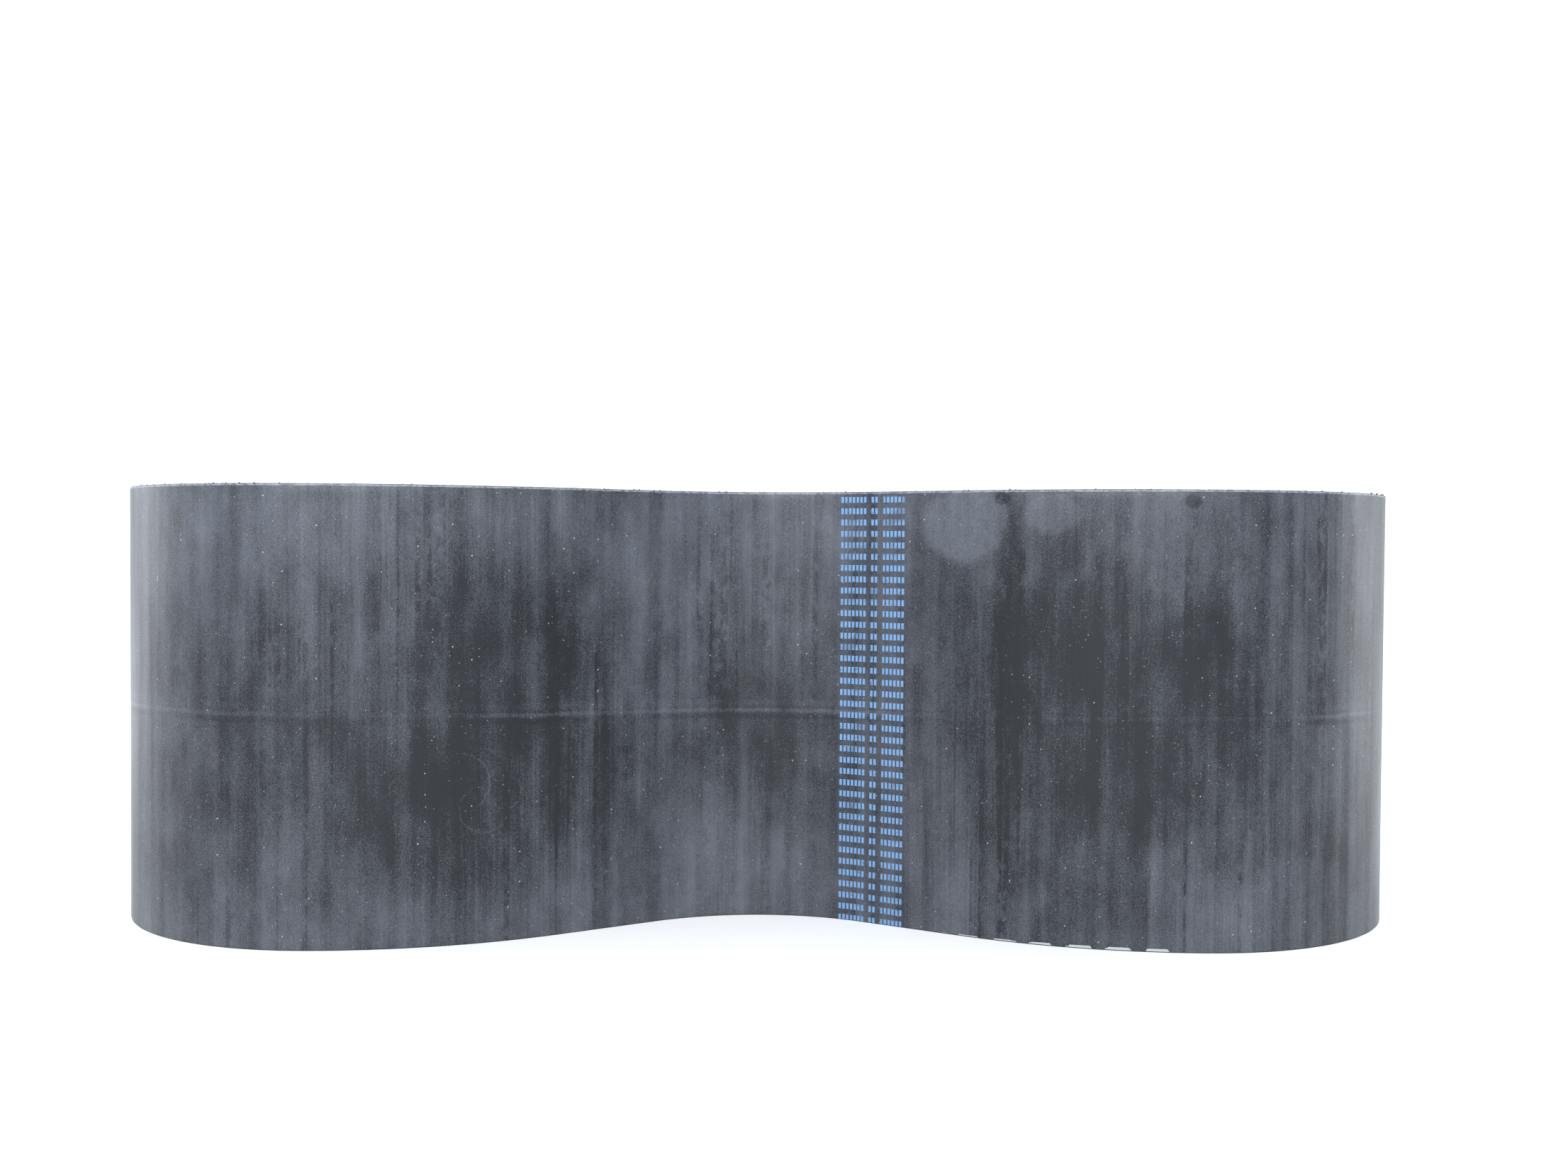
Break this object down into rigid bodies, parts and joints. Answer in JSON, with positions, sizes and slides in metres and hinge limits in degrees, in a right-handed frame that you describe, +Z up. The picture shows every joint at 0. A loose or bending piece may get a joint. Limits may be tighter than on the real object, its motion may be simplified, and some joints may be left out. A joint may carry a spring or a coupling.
{
  "type": "endless toothed drive belt",
  "caption": "Wide endless rubber belt with rounded teeth inside and a smooth back, standing on one cut edge and pinched at the middle into a long double-lobed loop.",
  "frame": {"origin": "middle of the loop, in the plane of the edge that the belt stands on", "axes": "+X along the longer way of the loop, +Y across the pinched waist, +Z up from the standing edge to the other edge"},
  "size_m": [0.5094, 0.1752, 0.17],
  "materials": {
    "backing_rubber": "matte moulded rubber, slate black, dusty, printed with small light blue rows",
    "tooth_rubber": "cut rubber, black, fine grained",
    "facing_fabric": "black woven nylon, rubber-filled, low sheen",
    "cord": "twisted glass cord, off-white"
  },
  "bodies": {
    "root": {"rubber_backing": "backing_rubber", "tooth_rubber": "tooth_rubber", "tooth_facing": "facing_fabric", "tensile_cord_s": "cord", "tensile_cord_z": "cord"}
  },
  "joints": []
}
